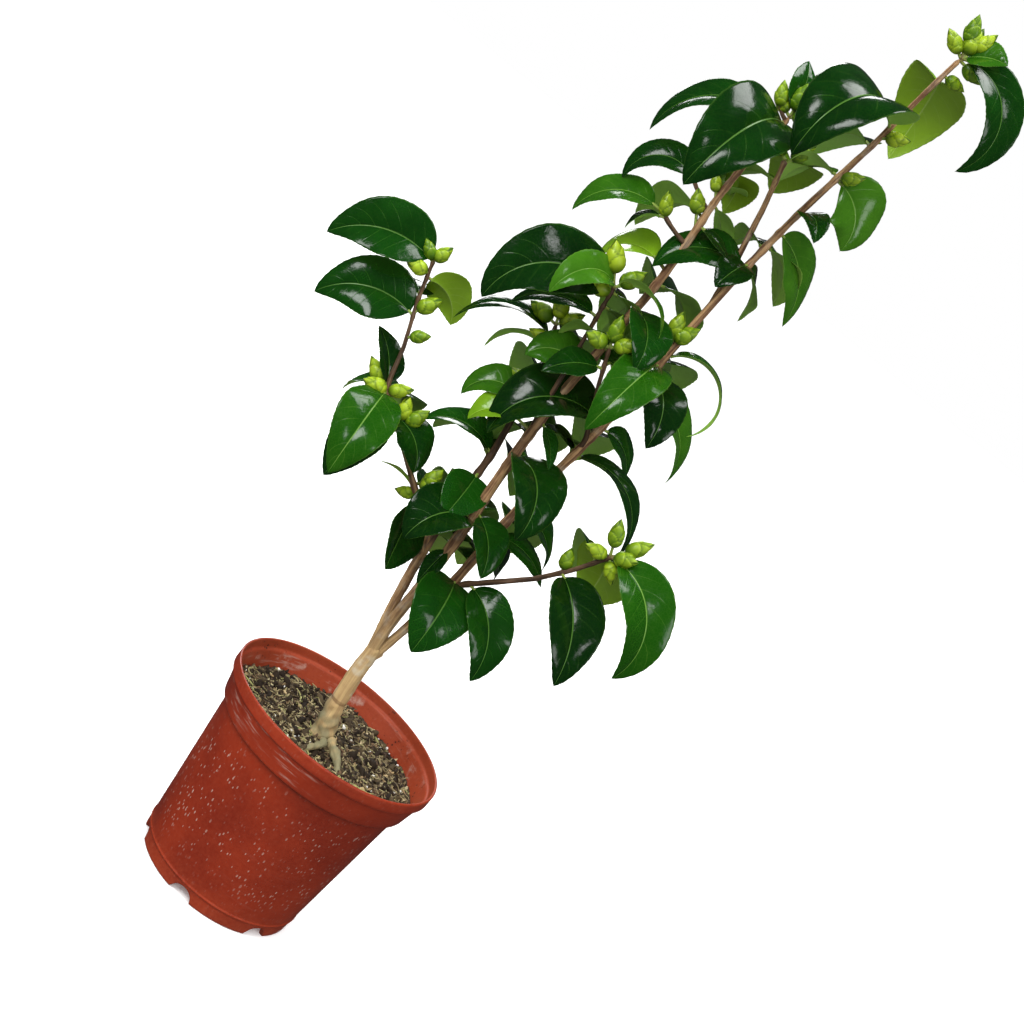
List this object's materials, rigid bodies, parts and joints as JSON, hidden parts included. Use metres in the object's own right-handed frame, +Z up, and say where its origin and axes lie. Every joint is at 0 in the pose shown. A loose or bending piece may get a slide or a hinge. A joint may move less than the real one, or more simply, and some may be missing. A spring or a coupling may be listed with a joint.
{
  "type": "potted camellia shrub",
  "caption": "Young camellia shrub with glossy evergreen leaves and green flower buds on slender upright stems, growing in a round moulded plastic nursery pot.",
  "frame": {"origin": "middle of the pot's flat underside, on the ground", "axes": "+Z up along the pot's axis, -Y the side the shrub shows to the front, +X to its right"},
  "size_m": [0.3984, 0.19, 0.8758],
  "materials": {
    "pot": "terracotta red injection-moulded plastic, semi-gloss, with dried water spots and scuffs",
    "soil": "damp dark compost with tan fibres, moss and white perlite grains, rough and matte",
    "bark": "pale tan bark with fine lengthwise fibres, browner on young growth, mossy green at the trunk's foot",
    "foliage": "glossy dark green leathery leaf with a pale midrib, paler and matte underneath",
    "buds": "smooth yellow-green flower bud of overlapping scales, satin"
  },
  "bodies": {
    "root": {"bough_inner_front": "bark", "bough_inner_left": "bark", "bough_left": "bark", "bough_left_tip": "bark", "bough_right": "bark", "foliage_fork": "foliage", "foliage_inner_front": "foliage", "foliage_inner_left": "foliage", "foliage_left_crown": "foliage", "foliage_left_hub": "foliage", "foliage_left_low": "foliage", "foliage_left_top": "foliage", "foliage_low_front": "foliage", "foliage_low_left": "foliage", "foliage_low_middle": "foliage", "foliage_middle": "foliage", "foliage_middle_front": "foliage", "foliage_middle_left": "foliage", "foliage_middle_right": "foliage", "foliage_right": "foliage", "foliage_right_crown": "foliage", "foliage_right_low": "foliage", "foliage_top": "foliage", "foliage_upper_left": "foliage", "foliage_upper_middle": "foliage", "foliage_upper_right": "foliage", "leader": "bark", "leader_fork": "bark", "pot": "pot", "root_front": "bark", "root_right": "bark", "soil": "soil", "stem_left": "bark", "stem_middle": "bark", "trunk": "bark"}
  },
  "joints": []
}
